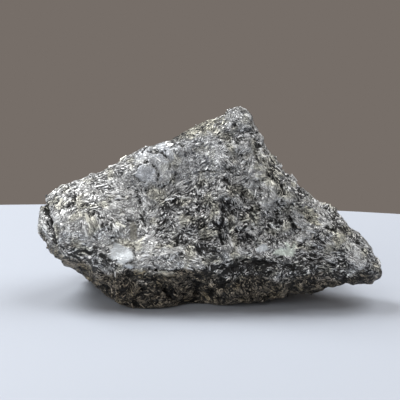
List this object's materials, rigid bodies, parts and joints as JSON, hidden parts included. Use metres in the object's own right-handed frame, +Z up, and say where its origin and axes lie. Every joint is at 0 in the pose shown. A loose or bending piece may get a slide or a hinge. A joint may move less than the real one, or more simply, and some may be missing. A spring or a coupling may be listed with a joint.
{
  "type": "nuummite stone",
  "caption": "Irregular broken lump of silvery-grey bladed amphibole rock with a rounded end, a peak and a pointed end, resting on a flat underside.",
  "frame": {"origin": "on the ground, under the middle of the stone's bounding box", "axes": "+X along the stone from its rounded end to its pointed end; -Y is the bright bladed face; +Z up"},
  "size_m": [0.1092, 0.0532, 0.0607],
  "materials": {
    "amphibole_rock": "satin"
  },
  "bodies": {
    "root": {"nuummite": "amphibole_rock"}
  },
  "joints": []
}
